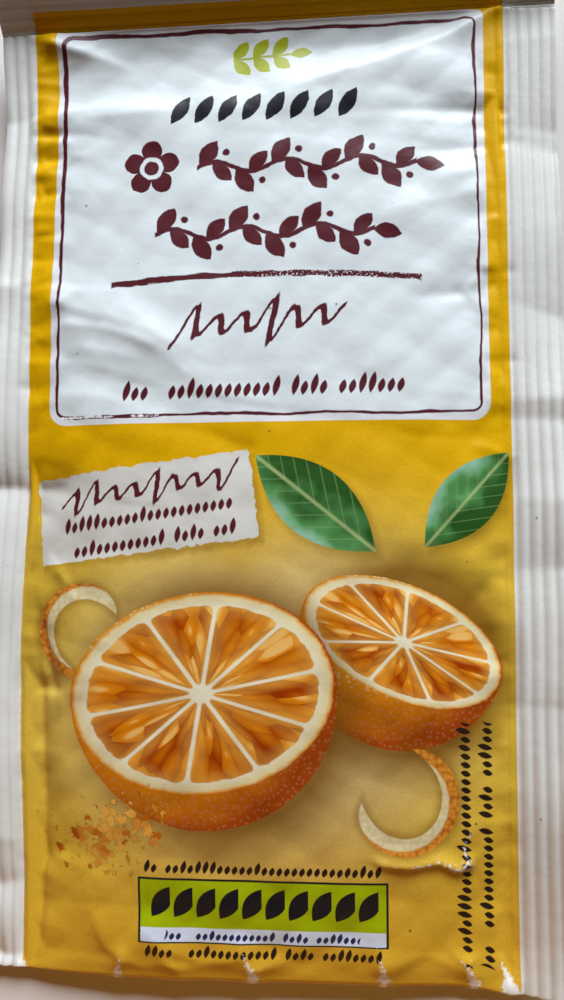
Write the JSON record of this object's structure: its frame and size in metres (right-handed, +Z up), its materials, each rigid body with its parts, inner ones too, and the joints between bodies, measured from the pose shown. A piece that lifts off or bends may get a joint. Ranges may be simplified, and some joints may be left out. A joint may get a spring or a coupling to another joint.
{
  "type": "food sachet",
  "caption": "Flat sealed sachet of dried grated peel, lying on its back, with ribbed side seals, a folded bottom edge and a curled top seal.",
  "frame": {"origin": "under the middle of the sachet's outline, on the surface it lies on", "axes": "+Y along the sachet towards its top seal, +X to its right as its front is read, +Z up out of its front"},
  "size_m": [0.08, 0.143, 0.0106],
  "materials": {
    "laminate": "satin coated"
  },
  "bodies": {
    "root": {"sachet": "laminate"}
  },
  "joints": []
}
